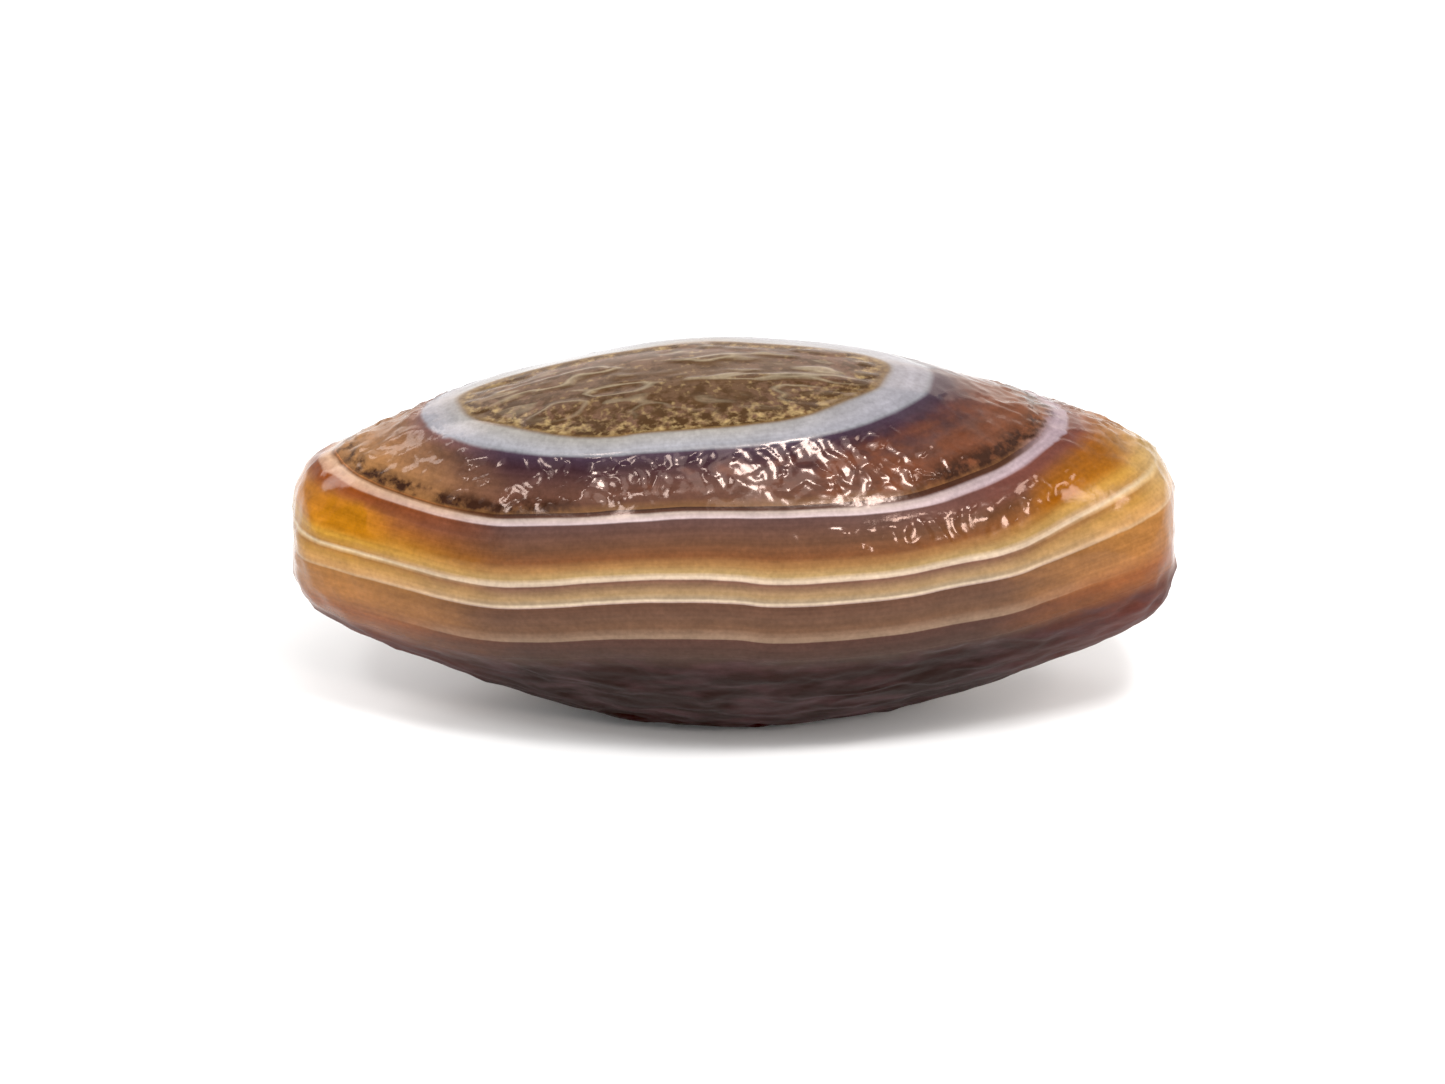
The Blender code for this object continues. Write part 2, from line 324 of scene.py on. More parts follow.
around = add(form, "ShaderNodeVectorMath", {0: ball, 1: (0.0, 1.0, 1.0)},
             operation="MULTIPLY").outputs[0]
spoke = add(form, "ShaderNodeVectorMath", {0: around}, operation="NORMALIZE").outputs[0]
section = add(form, "ShaderNodeVectorMath", {0: spoke, "Scale": radius},
              operation="SCALE").outputs[0]
axis_place = add(form, "ShaderNodeCombineXYZ", {0: along_place, 2: given["Axis height"]}).outputs[0]
turned_place = add(form, "ShaderNodeVectorMath", {0: section, 1: axis_place},
                   operation="ADD").outputs[0]
turned = add(form, "GeometryNodeSetPosition",
             {"Geometry": block.outputs["Mesh"], "Position": turned_place})

# The worn skin: each point moves along its normal to the solid's surface, evened out over its
# neighbours so that the solid's facets don't show
SKIN_REACH = 2.0 * MM
SKIN_SMOOTHING = 20  # rounds, which soften the facets over about 0.4 mm
normal = add(form, "GeometryNodeInputNormal").outputs[0]
skin = add(form, "GeometryNodeObjectInfo", {"Object": given["Worn skin"]})
lift = add(form, "ShaderNodeVectorMath", {0: normal, "Scale": SKIN_REACH},
           operation="SCALE").outputs[0]
above = add(form, "ShaderNodeVectorMath", {0: place, 1: lift}, operation="ADD").outputs[0]
inward = add(form, "ShaderNodeVectorMath", {0: normal, "Scale": -1.0}, operation="SCALE").outputs[0]
cast = add(form, "GeometryNodeRaycast",
           {"Target Geometry": skin.outputs["Geometry"], "Source Position": above,
            "Ray Direction": inward, "Ray Length": 2 * SKIN_REACH})
stand_out = add(form, "ShaderNodeMath", {0: SKIN_REACH, 1: cast.outputs["Hit Distance"]},
                operation="SUBTRACT").outputs[0]
even_skin = add(form, "GeometryNodeBlurAttribute",
                {"Value": stand_out, "Iterations": SKIN_SMOOTHING}).outputs[0]
skin_shift = add(form, "ShaderNodeVectorMath", {0: normal, "Scale": even_skin},
                 operation="SCALE").outputs[0]
worn = add(form, "GeometryNodeSetPosition", {"Geometry": turned.outputs[0], "Offset": skin_shift})

# The finest relief starts with chips and lumps in the brown layers
LUMPS_PER_MM = 0.9
place_mm, along_mm, layer = stone_layers(form, place)
across_mm = add(form, "ShaderNodeSeparateXYZ", {0: place_mm}).outputs[1]
zone = chipped_zone(form, place_mm, along_mm, layer)
bowls = chip_bowls(form, place_mm, CHIP_WIDTH, CHIP_LENGTH)
chip_depth = add(form, "ShaderNodeMath", {0: zone, 1: given["Chip depth"]},
                 operation="MULTIPLY").outputs[0]
lumps = add(form, "ShaderNodeTexNoise",
            {"Vector": place_mm, "Scale": LUMPS_PER_MM, "Detail": 2.0}).outputs[0]
lump_level = add(form, "ShaderNodeMath", {0: lumps, 1: 0.5}, operation="SUBTRACT").outputs[0]
lump_depth = add(form, "ShaderNodeMath", {0: zone, 1: given["Lump depth"]},
                 operation="MULTIPLY").outputs[0]
lump_shift = add(form, "ShaderNodeMath", {0: lump_level, 1: lump_depth},
                 operation="MULTIPLY").outputs[0]
chip_shift = add(form, "ShaderNodeMath", {0: bowls, 1: chip_depth, 2: lump_shift},
                 operation="MULTIPLY_ADD").outputs[0]

# Thin plates have flaked off one over another in the back of the eye, in steps with soft edges
flake_count = eye_plates(form, place_mm)
flake_whole = add(form, "ShaderNodeMath", {0: flake_count}, operation="FLOOR").outputs[0]
flake_part = add(form, "ShaderNodeMath", {0: flake_count}, operation="FRACT").outputs[0]
flake_edge = add(form, "ShaderNodeMapRange", {0: flake_part, 1: 0.7, 2: 1.0},
                 interpolation_type="SMOOTHSTEP").outputs[0]
flake_rise = add(form, "ShaderNodeMath", {0: flake_whole, 1: flake_edge},
                 operation="ADD").outputs[0]
flake_level = add(form, "ShaderNodeMath", {0: flake_rise, 1: PLATES / 2},
                  operation="SUBTRACT").outputs[0]
flake_back = add(form, "ShaderNodeMapRange",
                 {0: across_mm, 1: -3.2, 2: -1.2, 4: given["Flake depth"]},
                 interpolation_type="SMOOTHSTEP").outputs[0]
flake_depth = add(form, "ShaderNodeMapRange",
                  {0: layer, 1: EYE_EDGE, 2: EYE_EDGE + 0.12, 4: flake_back},
                  interpolation_type="SMOOTHSTEP").outputs[0]
flake_shift = add(form, "ShaderNodeMath", {0: flake_level, 1: flake_depth, 2: chip_shift},
                  operation="MULTIPLY_ADD").outputs[0]

# Wrinkles crease the left of the crown, and the back of the right end's upper layers
WRINKLES_PER_MM = (0.8, 1.5, 1.5)
wrinkle_left = add(form, "ShaderNodeMapRange",
                   {0: along_mm, 1: -6.0, 2: -8.5, 4: given["Wrinkle depth"]},
                   interpolation_type="SMOOTHSTEP").outputs[0]
wrinkle_over = add(form, "ShaderNodeMapRange",
                   {0: layer, 1: WHITE_TOP + 0.05, 2: WHITE_TOP + 0.4, 4: wrinkle_left},
                   interpolation_type="SMOOTHSTEP").outputs[0]
wrinkle_top = add(form, "ShaderNodeMapRange",
                  {0: layer, 1: -0.4, 2: 1.2, 4: given["Wrinkle depth"]},
                  interpolation_type="SMOOTHSTEP").outputs[0]
wrinkle_right = add(form, "ShaderNodeMapRange", {0: along_mm, 1: 7.0, 2: 9.5, 4: wrinkle_top},
                    interpolation_type="SMOOTHSTEP").outputs[0]
wrinkle_back = add(form, "ShaderNodeMapRange",
                   {0: across_mm, 1: -2.6, 2: -1.2, 4: wrinkle_right},
                   interpolation_type="SMOOTHSTEP").outputs[0]
wrinkle_both = add(form, "ShaderNodeMath", {0: wrinkle_over, 1: wrinkle_back},
                   operation="ADD").outputs[0]
wrinkle_depth = add(form, "ShaderNodeMapRange",
                    {0: layer, 1: RING_EDGE + 0.3, 2: RING_EDGE - 0.2, 4: wrinkle_both},
                    interpolation_type="SMOOTHSTEP").outputs[0]
wrinkle_grain = add(form, "ShaderNodeVectorMath", {0: place_mm, 1: WRINKLES_PER_MM},
                    operation="MULTIPLY").outputs[0]
wrinkles = add(form, "ShaderNodeTexNoise",
               {"Vector": wrinkle_grain, "Scale": 1.0, "Detail": 2.0, "Distortion": 0.8}).outputs[0]
wrinkle_level = add(form, "ShaderNodeMath", {0: 0.5, 1: wrinkles}, operation="SUBTRACT").outputs[0]
wrinkle_fold = add(form, "ShaderNodeMath", {0: wrinkle_level}, operation="ABSOLUTE").outputs[0]
wrinkled_shift = add(form, "ShaderNodeMath", {0: wrinkle_fold, 1: wrinkle_depth, 2: flake_shift},
                     operation="MULTIPLY_ADD").outputs[0]

# The softer layers have worn lower: there is a ledge under the ring, and the eye lies in a recess
ledge_end = add(form, "ShaderNodeMapRange",
                {0: layer, 1: WHITE_TOP + 0.4, 2: WHITE_TOP + 1.2, 4: given["Ledge depth"]},
                interpolation_type="SMOOTHSTEP").outputs[0]
ledge = add(form, "ShaderNodeMapRange",
            {0: layer, 1: RING_EDGE + 0.03, 2: RING_EDGE - 0.08, 4: ledge_end},
            interpolation_type="SMOOTHSTEP").outputs[0]
recess = add(form, "ShaderNodeMapRange",
             {0: layer, 1: EYE_EDGE, 2: EYE_EDGE + 0.15, 4: given["Recess depth"]},
             interpolation_type="SMOOTHSTEP").outputs[0]
lowered = add(form, "ShaderNodeMath", {0: ledge, 1: recess}, operation="ADD").outputs[0]
lowered_shift = add(form, "ShaderNodeMath", {0: wrinkled_shift, 1: lowered},
                    operation="SUBTRACT").outputs[0]

# Nicks mark both ends
NICKS_PER_MM = 1.3
end_reach = add(form, "ShaderNodeMath", {0: along_mm}, operation="ABSOLUTE").outputs[0]
nick_depth = add(form, "ShaderNodeMapRange",
                 {0: end_reach, 1: 11.0, 2: 13.0, 4: given["Nick depth"]},
                 interpolation_type="SMOOTHSTEP").outputs[0]
nicks = add(form, "ShaderNodeTexNoise",
            {"Vector": place_mm, "Scale": NICKS_PER_MM, "Detail": 2.0}).outputs[0]
nick_level = add(form, "ShaderNodeMath", {0: nicks, 1: 0.5}, operation="SUBTRACT").outputs[0]
nicked_shift = add(form, "ShaderNodeMath", {0: nick_level, 1: nick_depth, 2: lowered_shift},
                   operation="MULTIPLY_ADD").outputs[0]

# Low folds run along the dark base
FOLDS_PER_MM = (0.5, 1.0, 1.3)
fold_depth = add(form, "ShaderNodeMapRange",
                 {0: layer, 1: BASE_TOP, 2: BASE_TOP - 0.6, 4: given["Fold depth"]},
                 interpolation_type="SMOOTHSTEP").outputs[0]
fold_grain = add(form, "ShaderNodeVectorMath", {0: place_mm, 1: FOLDS_PER_MM},
                 operation="MULTIPLY").outputs[0]
folds = add(form, "ShaderNodeTexNoise",
            {"Vector": fold_grain, "Scale": 1.0, "Detail": 1.5, "Distortion": 0.6}).outputs[0]
fold_level = add(form, "ShaderNodeMath", {0: folds, 1: 0.5}, operation="SUBTRACT").outputs[0]
folded_shift = add(form, "ShaderNodeMath", {0: fold_level, 1: fold_depth, 2: nicked_shift},
                   operation="MULTIPLY_ADD").outputs[0]
relief = add(form, "ShaderNodeVectorMath", {0: normal, "Scale": folded_shift},
             operation="SCALE").outputs[0]
cut = add(form, "GeometryNodeSetPosition", {"Geometry": worn.outputs[0], "Offset": relief})

# Nothing reaches under the floor that the stone rests on
cut_along, cut_across, cut_height = add(form, "ShaderNodeSeparateXYZ", {0: place}).outputs
floor_height = add(form, "ShaderNodeMath", {0: cut_height, 1: 0.0}, operation="MAXIMUM").outputs[0]
rested_place = add(form, "ShaderNodeCombineXYZ",
                   {0: cut_along, 1: cut_across, 2: floor_height}).outputs[0]
rested = add(form, "GeometryNodeSetPosition",
             {"Geometry": cut.outputs[0], "Position": rested_place})
smooth = add(form, "GeometryNodeSetShadeSmooth", {0: rested.outputs[0]})
real = add(form, "GeometryNodeRealizeInstances", {0: smooth.outputs[0]})
surfaced = add(form, "GeometryNodeSetMaterial",
               {"Geometry": real.outputs[0], "Material": given["Surface"]})
add(form, "NodeGroupOutput", {0: surfaced.outputs[0]})


def linear(hex_colour):
    """Linear RGBA from an sRGB hex colour."""
    values = []
    for start in (1, 3, 5):
        part = int(hex_colour[start:start + 2], 16) / 255
        values.append(part / 12.92 if part <= 0.04045 else ((part + 0.055) / 1.055) ** 2.4)
    return (*values, 1.0)


# Naturally polished chalcedony: a hard, waxy gloss over translucent layers. Each layer is dark at
# its top and pales downwards to a thin, bright and sharp lower edge. Both thin ends let light
# through; their amber is painted into the colour, partly the layers' own honey tone and partly
# a painted glow of the light that passes through. Colours are (height in mm, colour).
BANDS_BOTTOM, BANDS_TOP = -3.4, 2.5
CROWN_BOTTOM, CROWN_TOP = 2.5, 6.2
# The lowest middle stops darken towards the bottom: partly the dark base layer's own colour, partly
# painted shade of the underside
MIDDLE_BANDS = (
    (-3.4, "#140708"), (-2.9, "#211414"), (-2.5, "#382c27"), (-1.74, "#3e2924"),
    (-1.70, "#746050"), (-1.3, "#594030"), (-0.9, "#4e382c"), (-0.45, "#4a3227"),
    (-0.42, "#8e7a70"), (-0.36, "#aa9985"), (-0.28, "#81715b"), (-0.12, "#826a4b"),
    (0.3, "#553930"), (0.335, "#9e8b7a"), (0.42, "#a69581"), (0.56, "#866f49"),
    (0.8, "#7d5b36"), (1.08, "#5f3a21"), (1.5, "#503526"), (2.17, "#45312f"),
    (2.2, "#a19192"), (2.35, "#908279"), (2.40, "#3d251d"), (2.5, "#271812"),
)
END_BANDS = (
    (-3.4, "#4a2420"), (-2.75, "#4f2a20"), (-2.3, "#6f4224"), (-1.9, "#754323"),
    (-1.3, "#845933"), (-0.47, "#845a30"), (-0.42, "#9e8160"), (-0.33, "#9b754a"),
    (0.05, "#926c35"), (0.22, "#7f5829"), (0.3, "#a48862"), (0.35, "#a9967a"),
    (0.45, "#876230"), (0.7, "#98702c"), (1.05, "#90601e"), (1.4, "#875122"),
    (1.8, "#6c3d28"), (2.15, "#6b3512"), (2.2, "#95715b"), (2.38, "#a3846b"),
    (2.46, "#593618"), (2.5, "#9f673d"),
)
MIDDLE_CROWN = (
    (2.5, "#5a3f27"), (2.75, "#4b3127"), (3.1, "#4a322b"), (3.65, "#302026"),
    (3.97, "#322733"), (4.05, "#6b6c71"), (4.15, "#818186"), (4.43, "#787570"),
    (4.49, "#533a1e"), (4.58, "#584033"), (4.9, "#4e3a2a"), (5.3, "#5c493a"),
    (6.2, "#655442"),
)
END_CROWN = (
    (2.5, "#74502f"), (2.8, "#86603c"), (3.7, "#805c40"), (4.0, "#7c564b"),
    (4.07, "#8b8990"), (4.42, "#8b8990"), (4.5, "#81714c"), (6.2, "#5d4526"),
)


def set_colours(ramp, stops, bottom, top):
    """Gives a colour ramp the layers' colours, from the bottom height to the top one."""
    elements = ramp.color_ramp.elements
    while len(elements) < len(stops):
        elements.new(0.5)
    for element, (height, colour) in zip(elements, stops):
        element.position = (height - bottom) / (top - bottom)
        element.color = linear(colour)


agate = bpy.data.materials.new("polished_banded_agate")
agate.use_nodes = True
tree = agate.node_tree
shader = tree.nodes["Principled BSDF"]
coords = add(tree, "ShaderNodeTexCoord").outputs["Object"]
mm, along, layer = stone_layers(tree, coords)
across = add(tree, "ShaderNodeSeparateXYZ", {0: mm}).outputs[1]

# Amber ends, partly the stone's honey tone and partly a painted glow of light through them: the
# share grows towards both ends, with cloudy borders
CLOUDS_PER_MM = (0.5, 0.5, 1.2)
CLOUD_REACH = 3.0  # mm that the clouds move a border
from_middle = add(tree, "ShaderNodeMath", {0: along, 1: 0.4}, operation="SUBTRACT").outputs[0]
end_reach = add(tree, "ShaderNodeMath", {0: from_middle}, operation="ABSOLUTE").outputs[0]
cloud_grain = add(tree, "ShaderNodeVectorMath", {0: mm, 1: CLOUDS_PER_MM},
                  operation="MULTIPLY").outputs[0]
cloud = add(tree, "ShaderNodeTexNoise",
            {"Vector": cloud_grain, "Scale": 1.0, "Detail": 3.0}).outputs[0]
cloudy_reach = add(tree, "ShaderNodeMath", {0: cloud, 1: CLOUD_REACH, 2: end_reach},
                   operation="MULTIPLY_ADD").outputs[0]
amber_and_glow_share = add(tree, "ShaderNodeMapRange", {0: cloudy_reach, 1: 8.5, 2: 14.5},
                  interpolation_type="SMOOTHSTEP").outputs[0]
stacks = []
for middle_stops, end_stops, bottom, top in (
        (MIDDLE_BANDS, END_BANDS, BANDS_BOTTOM, BANDS_TOP),
        (MIDDLE_CROWN, END_CROWN, CROWN_BOTTOM, CROWN_TOP)):
    stack_run = add(tree, "ShaderNodeMapRange", {0: layer, 1: bottom, 2: top}).outputs[0]
    middle_ramp = add(tree, "ShaderNodeValToRGB", {0: stack_run})
    set_colours(middle_ramp, middle_stops, bottom, top)
    end_ramp = add(tree, "ShaderNodeValToRGB", {0: stack_run})
    set_colours(end_ramp, end_stops, bottom, top)
    stacks.append(add(tree, "ShaderNodeMix",
                      {0: amber_and_glow_share, 6: middle_ramp.outputs[0], 7: end_ramp.outputs[0]},
                      data_type="RGBA").outputs[2])
above_white = add(tree, "ShaderNodeMath", {0: layer, 1: BANDS_TOP},
                  operation="GREATER_THAN").outputs[0]
layered = add(tree, "ShaderNodeMix", {0: above_white, 6: stacks[0], 7: stacks[1]},
              data_type="RGBA").outputs[2]

# What colours the stone besides its layers, as (share, colour), each laid over the ones before
coats = []

# The white layer turns lavender towards the right end and thickens there, over a purple shade
tint_right = add(tree, "ShaderNodeMapRange", {0: along, 1: 3.5, 2: 9.0, 4: 0.85}).outputs[0]
tint_low = add(tree, "ShaderNodeMapRange",
               {0: layer, 1: WHITE_EDGE - 0.03, 2: WHITE_EDGE, 4: tint_right}).outputs[0]
tint_share = add(tree, "ShaderNodeMapRange",
                 {0: layer, 1: WHITE_TOP, 2: WHITE_TOP - 0.06, 4: tint_low}).outputs[0]
coats.append((tint_share, linear("#83747a")))
shade_right = add(tree, "ShaderNodeMapRange", {0: along, 1: 4.5, 2: 10.0, 4: 0.9}).outputs[0]
shade_top = add(tree, "ShaderNodeMapRange",
                {0: layer, 1: WHITE_EDGE + 0.04, 2: WHITE_EDGE - 0.02, 4: shade_right}).outputs[0]
shade_share = add(tree, "ShaderNodeMapRange", {0: layer, 1: 1.4, 2: 2.1, 4: shade_top},
                  interpolation_type="SMOOTHSTEP").outputs[0]
coats.append((shade_share, linear("#55302a")))
thick_right = add(tree, "ShaderNodeMapRange", {0: along, 1: 8.6, 2: 10.4},
                  interpolation_type="SMOOTHSTEP").outputs[0]
thick_low = add(tree, "ShaderNodeMapRange",
                {0: layer, 1: WHITE_EDGE - 0.06, 2: WHITE_EDGE, 4: thick_right}).outputs[0]
thick_share = add(tree, "ShaderNodeMapRange",
                  {0: layer, 1: WHITE_TOP + 0.26, 2: WHITE_TOP + 0.08, 4: thick_low},
                  interpolation_type="SMOOTHSTEP").outputs[0]
coats.append((thick_share, linear("#807076")))

# The ring cools to a lavender grey on the right
ring_right = add(tree, "ShaderNodeMapRange", {0: along, 1: 0.0, 2: 5.0, 4: 0.8}).outputs[0]
ring_low = add(tree, "ShaderNodeMapRange",
               {0: layer, 1: RING_EDGE, 2: RING_EDGE + 0.06, 4: ring_right}).outputs[0]
ring_share = add(tree, "ShaderNodeMapRange",
                 {0: layer, 1: EYE_EDGE, 2: EYE_EDGE - 0.05, 4: ring_low}).outputs[0]
coats.append((ring_share, linear("#79787f")))

# Clear amber windows in both ends, between the cream line and the white layer, painted as the glow
# of light through them, with darker stains in them
STAINS_PER_MM = 0.7
window_from = add(tree, "ShaderNodeMath", {0: along, 1: 0.6}, operation="ADD").outputs[0]
window_side = add(tree, "ShaderNodeMath", {0: window_from}, operation="ABSOLUTE").outputs[0]
window_cloud = add(tree, "ShaderNodeMath", {0: cloud, 1: CLOUD_REACH, 2: window_side},
                   operation="MULTIPLY_ADD").outputs[0]
window_reach = add(tree, "ShaderNodeMapRange", {0: window_cloud, 1: 10.9, 2: 12.7, 4: 0.8},
                   interpolation_type="SMOOTHSTEP").outputs[0]
window_low = add(tree, "ShaderNodeMapRange", {0: layer, 1: 0.70, 2: 1.05, 4: window_reach},
                 interpolation_type="SMOOTHSTEP").outputs[0]
window_glow_share = add(tree, "ShaderNodeMapRange", {0: layer, 1: 2.05, 2: 1.6, 4: window_low},
                   interpolation_type="SMOOTHSTEP").outputs[0]
window_right = add(tree, "ShaderNodeMapRange", {0: along, 1: -6.0, 2: 6.0}).outputs[0]
window_glow_colour = add(tree, "ShaderNodeMix",
                    {0: window_right, 6: linear("#965f1b"), 7: linear("#74440b")},
                    data_type="RGBA").outputs[2]
coats.append((window_glow_share, window_glow_colour))
stains = add(tree, "ShaderNodeTexNoise", {"Vector": mm, "Scale": STAINS_PER_MM, "Detail": 2.0,
                                          "Distortion": 0.5}).outputs[0]
stain_share = add(tree, "ShaderNodeMapRange",
                  {0: stains, 1: 0.53, 2: 0.62, 4: window_glow_share}).outputs[0]
stain_colour = add(tree, "ShaderNodeMix",
                   {0: window_right, 6: linear("#86550f"), 7: linear("#66380a")},
                   data_type="RGBA").outputs[2]
coats.append((stain_share, stain_colour))

# The very end on the right is a pale khaki above the cream line
khaki_run = add(tree, "ShaderNodeMath", {0: layer, 1: 0.8, 2: along},
                operation="MULTIPLY_ADD").outputs[0]
khaki_reach = add(tree, "ShaderNodeMapRange", {0: khaki_run, 1: 12.7, 2: 14.0, 4: 0.85},
                  interpolation_type="SMOOTHSTEP").outputs[0]
khaki_share = add(tree, "ShaderNodeMapRange",
                  {0: layer, 1: -0.6, 2: 0.3, 4: khaki_reach}).outputs[0]
coats.append((khaki_share, linear("#9a8258")))

# The crown turns red-brown on the right, with rusty patches elsewhere
rust = add(tree, "ShaderNodeTexNoise",
           {"Vector": cloud_grain, "Scale": 1.7, "Detail": 3.0}).outputs[0]
rust_right = add(tree, "ShaderNodeMath", {0: along, 1: 0.035, 2: rust},
                 operation="MULTIPLY_ADD").outputs[0]
rust_low = add(tree, "ShaderNodeMapRange",
               {0: layer, 1: WHITE_TOP + 0.02, 2: WHITE_TOP + 0.25, 4: 0.75}).outputs[0]
rust_zone = add(tree, "ShaderNodeMapRange",
                {0: layer, 1: RING_EDGE - 0.15, 2: RING_EDGE - 0.6, 4: rust_low}).outputs[0]
rust_share = add(tree, "ShaderNodeMapRange", {0: rust_right, 1: 0.50, 2: 0.80, 4: rust_zone},
                 interpolation_type="SMOOTHSTEP").outputs[0]
coats.append((rust_share, linear("#5b3423")))

# Black-brown dots of iron oxide, in patches just above the white layer, away from mid-length
DOTS_PER_MM = 2.4
DOT_PATCHES_PER_MM = 0.55
dot_reach = add(tree, "ShaderNodeMapRange", {0: end_reach, 1: 4.5, 2: 6.5},
                interpolation_type="SMOOTHSTEP").outputs[0]
dot_low = add(tree, "ShaderNodeMapRange",
              {0: layer, 1: WHITE_TOP, 2: WHITE_TOP + 0.15, 4: dot_reach}).outputs[0]
dot_zone = add(tree, "ShaderNodeMapRange",
               {0: layer, 1: WHITE_TOP + 0.58, 2: WHITE_TOP + 0.30, 4: dot_low},
               interpolation_type="SMOOTHSTEP").outputs[0]
dots = add(tree, "ShaderNodeTexNoise", {"Vector": mm, "Scale": DOTS_PER_MM, "Detail": 3.0,
                                        "Roughness": 0.6}).outputs[0]
dot_patches = add(tree, "ShaderNodeTexNoise",
                  {"Vector": mm, "Scale": DOT_PATCHES_PER_MM, "Detail": 1.0}).outputs[0]
dot_level = add(tree, "ShaderNodeMath", {0: dot_patches, 1: 0.6, 2: dots},
                operation="MULTIPLY_ADD").outputs[0]
dot_share = add(tree, "ShaderNodeMapRange",
                {0: dot_level, 1: 0.66, 2: 0.88, 4: dot_zone}).outputs[0]
coats.append((dot_share, linear("#2c1c16")))

# The eye: ochre specks along its rim, under dark brown blotches that are closest together there.
# Both zones grow narrower towards the back, from the first height in mm to the second.
SPECKS_PER_MM = 4.5
SPECK_TOPS = (4.95, 4.60)
BLOTCHES_PER_MM = (2.3, 3.1, 3.1)
BLOTCH_TOPS = (5.3, 4.85)
eye_zone = add(tree, "ShaderNodeMapRange", {0: layer, 1: EYE_EDGE, 2: EYE_EDGE + 0.04}).outputs[0]
speck_top = add(tree, "ShaderNodeMapRange",
                {0: across, 1: -3.0, 2: -0.3, 3: SPECK_TOPS[0], 4: SPECK_TOPS[1]}).outputs[0]
speck_rim = add(tree, "ShaderNodeMapRange", {0: layer, 1: speck_top, 2: EYE_EDGE},
                interpolation_type="SMOOTHSTEP").outputs[0]
specks = add(tree, "ShaderNodeTexNoise",
             {"Vector": mm, "Scale": SPECKS_PER_MM, "Detail": 2.0}).outputs[0]
speck_level = add(tree, "ShaderNodeMath", {0: speck_rim, 1: 0.26, 2: specks},
                  operation="MULTIPLY_ADD").outputs[0]
speck_share = add(tree, "ShaderNodeMapRange",
                  {0: speck_level, 1: 0.56, 2: 0.90, 4: eye_zone}).outputs[0]
coats.append((speck_share, linear("#8d7852")))
blotch_top = add(tree, "ShaderNodeMapRange",
                 {0: across, 1: -3.0, 2: -0.3, 3: BLOTCH_TOPS[0], 4: BLOTCH_TOPS[1]}).outputs[0]
blotch_rim = add(tree, "ShaderNodeMapRange",
                 {0: layer, 1: blotch_top, 2: EYE_EDGE + 0.05}).outputs[0]
blotch_grain = add(tree, "ShaderNodeVectorMath", {0: mm, 1: BLOTCHES_PER_MM},
                   operation="MULTIPLY").outputs[0]
blotches = add(tree, "ShaderNodeTexNoise", {"Vector": blotch_grain, "Scale": 1.0, "Detail": 3.0,
                                            "Roughness": 0.6}).outputs[0]
blotch_level = add(tree, "ShaderNodeMath", {0: blotch_rim, 1: 0.08, 2: blotches},
                   operation="MULTIPLY_ADD").outputs[0]
blotch_share = add(tree, "ShaderNodeMapRange",
                   {0: blotch_level, 1: 0.49, 2: 0.64, 4: eye_zone}).outputs[0]
coats.append((blotch_share, linear("#3b2918")))

# Higher up in the eye, the plates' pale rims stand over crevices darkened by painted shade, a fifth
# of a plate apart
CREVICE_SHIFT = 0.20
plate_count = eye_plates(tree, mm)
plate_back = add(tree, "ShaderNodeMapRange", {0: across, 1: -3.1, 2: -1.1, 4: eye_zone}).outputs[0]
plate_zone = add(tree, "ShaderNodeMapRange",
                 {0: layer, 1: EYE_EDGE + 0.05, 2: EYE_EDGE + 0.25, 4: plate_back}).outputs[0]
crevice_count = add(tree, "ShaderNodeMath", {0: plate_count, 1: CREVICE_SHIFT},
                    operation="ADD").outputs[0]
crevice_reach = add(tree, "ShaderNodeMath", {0: crevice_count, 1: 0.5},
                    operation="PINGPONG").outputs[0]
crevice_shade_share = add(tree, "ShaderNodeMapRange",
                    {0: crevice_reach, 1: 0.14, 2: 0.0, 4: plate_zone}).outputs[0]
coats.append((crevice_shade_share, linear("#483523")))
# The pale rims are partly the plates' pale crust and partly a painted highlight along their edges
rim_reach = add(tree, "ShaderNodeMath", {0: plate_count, 1: 0.5}, operation="PINGPONG").outputs[0]
pale_rim_and_highlight_share = add(tree, "ShaderNodeMapRange",
                {0: rim_reach, 1: 0.16, 2: -0.04, 4: plate_zone}).outputs[0]
coats.append((pale_rim_and_highlight_share, linear("#857964")))

# Mauve clouds in the dark base, partly its own mottling and partly a painted sheen on its folds
BASE_CLOUDS_PER_MM = (0.6, 0.8, 1.9)
base_zone = add(tree, "ShaderNodeMapRange", {0: layer, 1: BASE_TOP, 2: BASE_TOP - 0.5}).outputs[0]
base_grain = add(tree, "ShaderNodeVectorMath", {0: mm, 1: BASE_CLOUDS_PER_MM},
                 operation="MULTIPLY").outputs[0]
base_cloud = add(tree, "ShaderNodeTexNoise",
                 {"Vector": base_grain, "Scale": 1.0, "Detail": 4.0}).outputs[0]
base_cloud_and_sheen_share = add(tree, "ShaderNodeMapRange",
                 {0: base_cloud, 1: 0.45, 2: 0.80, 4: base_zone}).outputs[0]
coats.append((base_cloud_and_sheen_share, linear("#3d2a2d")))

marked = layered
for share, colour in coats:
    marked = add(tree, "ShaderNodeMix", {0: share, 6: marked, 7: colour},
                 data_type="RGBA").outputs[2]

